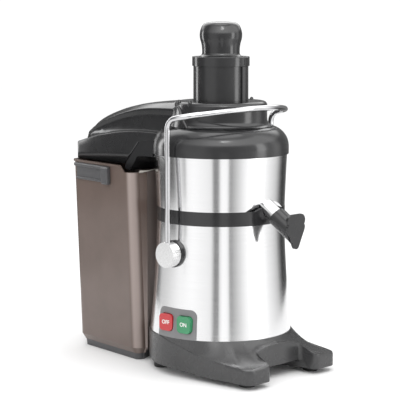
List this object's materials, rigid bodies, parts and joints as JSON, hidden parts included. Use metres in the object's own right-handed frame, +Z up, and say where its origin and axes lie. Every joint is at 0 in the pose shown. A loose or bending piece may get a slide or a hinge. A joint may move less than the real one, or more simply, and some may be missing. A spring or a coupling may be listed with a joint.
{
  "type": "centrifugal juicer",
  "caption": "Bench-top centrifugal juicer with a steel body, splayed base, feed tube with pusher, swinging bail, capped spout and a rear pulp bin under a hood.",
  "frame": {"origin": "middle of the footprint box, on the bench", "axes": "+Z up; the juice spout points along -Y and the pulp bin stands at +Y; X is across, square to the plane of symmetry"},
  "size_m": [0.2296, 0.4066, 0.5062],
  "materials": {
    "moulding_charcoal": "satin charcoal moulding",
    "stainless_brushed": "brushed round the body, bright",
    "bail_chrome": "polished",
    "knob_steel": "fine turned",
    "bin_smoke": "smoked translucent brown-grey, satin",
    "bin_trim": "satin",
    "panel_grey": "mid grey satin",
    "button_red": "glossy red",
    "button_green": "glossy green",
    "rubber_black": "matt black",
    "plate_steel": "plated",
    "motor_iron": "laminated steel",
    "winding_copper": "enamelled copper wire",
    "bell_aluminium": "die cast",
    "inner_plastic": "moulded"
  },
  "bodies": {
    "root": {"base_housing": "moulding_charcoal", "base_plate": "plate_steel", "rubber_feet": "rubber_black", "base_screws": "plate_steel", "cable_gland": "moulding_charcoal", "motor_housing_shell": "stainless_brushed", "housing_ring": "moulding_charcoal", "switch_panel": "panel_grey", "switch_block": "inner_plastic", "terminal_block": "inner_plastic", "run_capacitor": "bell_aluminium", "interlock_switch": "inner_plastic", "motor_stator": "motor_iron", "motor_windings": "winding_copper", "end_bell_lower": "bell_aluminium", "end_bell_upper": "bell_aluminium", "bearing_lower": "knob_steel", "bearing_upper": "knob_steel", "motor_bolts": "plate_steel", "motor_mount_plate": "plate_steel", "vibration_mounts": "rubber_black", "shaft_seal": "rubber_black", "juice_bowl": "stainless_brushed", "bowl_chimney": "stainless_brushed", "bowl_gasket": "rubber_black", "spout_tube": "stainless_brushed", "lid_cover": "moulding_charcoal", "lid_drum": "moulding_charcoal", "feed_tube": "moulding_charcoal", "lid_gasket": "rubber_black", "pulp_hood": "moulding_charcoal", "pulp_chute": "moulding_charcoal", "pivot_bush_left": "moulding_charcoal", "pivot_bush_right": "moulding_charcoal"},
    "rotor": {"motor_shaft": "knob_steel", "rotor_core": "motor_iron", "cooling_fan": "inner_plastic", "drive_coupling": "inner_plastic", "filter_basket": "stainless_brushed", "grater_disc": "stainless_brushed", "lock_nut": "knob_steel"},
    "bail": {"bail_arm": "bail_chrome", "pivot_knob_left": "knob_steel", "pivot_knob_right": "knob_steel", "pivot_pin_left": "knob_steel", "pivot_pin_right": "knob_steel", "interlock_cam": "inner_plastic"},
    "pusher": {"pusher": "moulding_charcoal", "pusher_knob": "moulding_charcoal"},
    "bin": {"pulp_bin": "bin_smoke", "bin_foot": "bin_trim", "bin_grip_left": "bin_trim", "bin_grip_right": "bin_trim"},
    "cap": {"spout_cap": "moulding_charcoal"},
    "on_key": {"on_button": "button_green"},
    "off_key": {"off_button": "button_red"}
  },
  "joints": [
    {"name": "rotor_spin", "type": "hinge", "parent": "root", "child": "rotor", "pos_m": [0, -0.05525, 0.2], "axis": [0, 0, 1], "continuous": true},
    {"name": "bail_swing", "type": "hinge", "parent": "root", "child": "bail", "pos_m": [0, -0.05525, 0.1774], "axis": [1, 0, 0], "range_deg": [0, 105]},
    {"name": "pusher_lift", "type": "slide", "parent": "root", "child": "pusher", "axis": [0, 0, 1], "range_m": [0, 0.13]},
    {"name": "bin_slide", "type": "slide", "parent": "root", "child": "bin", "axis": [0, 1, 0], "range_m": [0, 0.16]},
    {"name": "cap_turn", "type": "hinge", "parent": "root", "child": "cap", "pos_m": [0, -0.17585, 0.2268], "axis": [0, -0.8434, -0.5373], "range_deg": [0, 180]},
    {"name": "off_press", "type": "slide", "parent": "root", "child": "off_key", "axis": [0.9962, 0.0872, 0], "range_m": [0, 0.003], "stiffness_N_per_m": 400},
    {"name": "on_press", "type": "slide", "parent": "root", "child": "on_key", "axis": [0.9962, 0.0872, 0], "range_m": [0, 0.003], "stiffness_N_per_m": 400}
  ]
}
